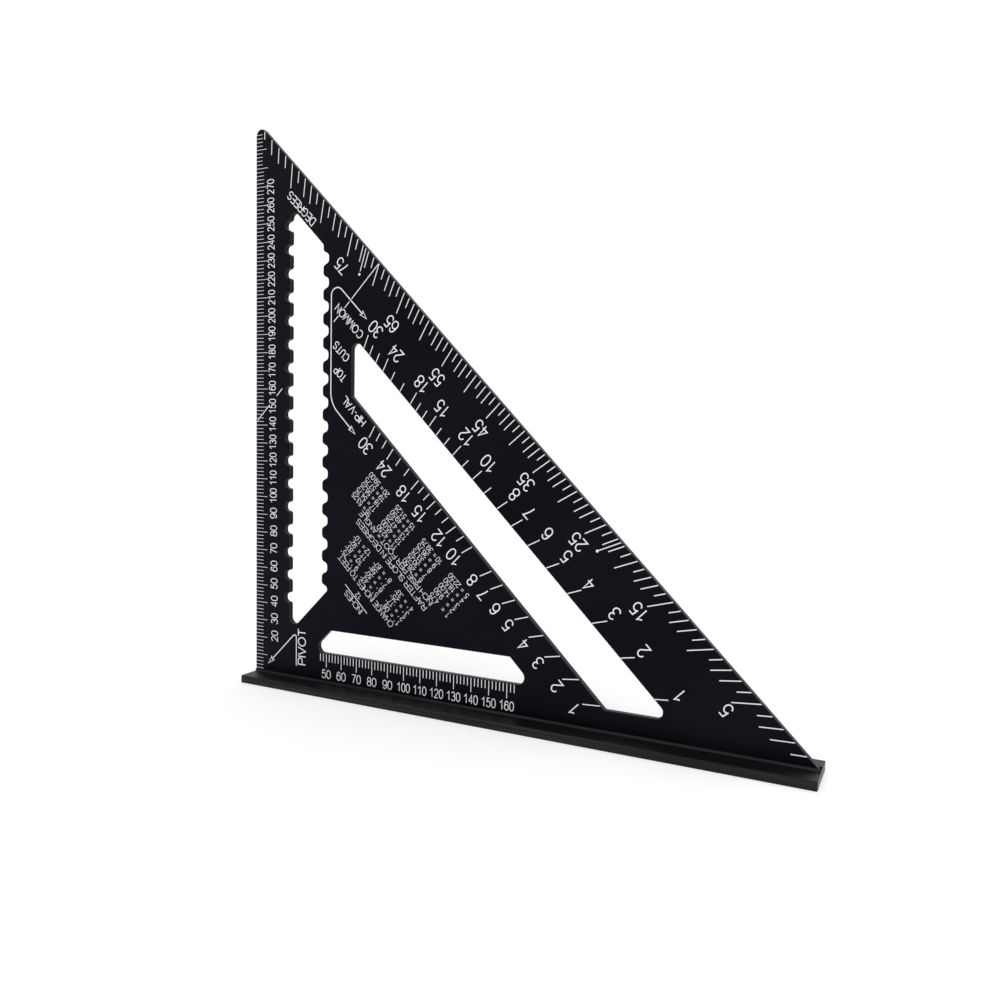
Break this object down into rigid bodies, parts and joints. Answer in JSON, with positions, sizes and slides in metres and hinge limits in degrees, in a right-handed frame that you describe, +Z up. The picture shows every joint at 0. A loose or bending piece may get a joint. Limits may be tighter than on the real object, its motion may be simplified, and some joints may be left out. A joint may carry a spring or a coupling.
{
  "type": "speed square",
  "caption": "Right-angled triangular rafter square: a slotted aluminium blade standing in a T-shaped fence, with degree, rafter and millimetre scales.",
  "frame": {"origin": "middle of the fence's underside, which is the bottom centre of the bounding box", "axes": "+X along the fence from the square corner to the sharp corner, +Z up the blade's upright edge, marked face of the blade towards -Y"},
  "size_m": [0.306, 0.027, 0.3053],
  "materials": {
    "black_anodised_blade": "satin black anodised plate with light chamfers",
    "black_anodised_fence": "satin black anodised extrusion with fine lengthwise die lines",
    "white_marking": "matt light grey-white laser marking, level with the anodised face"
  },
  "bodies": {
    "root": {"blade": "black_anodised_blade", "fence": "black_anodised_fence"}
  },
  "joints": []
}
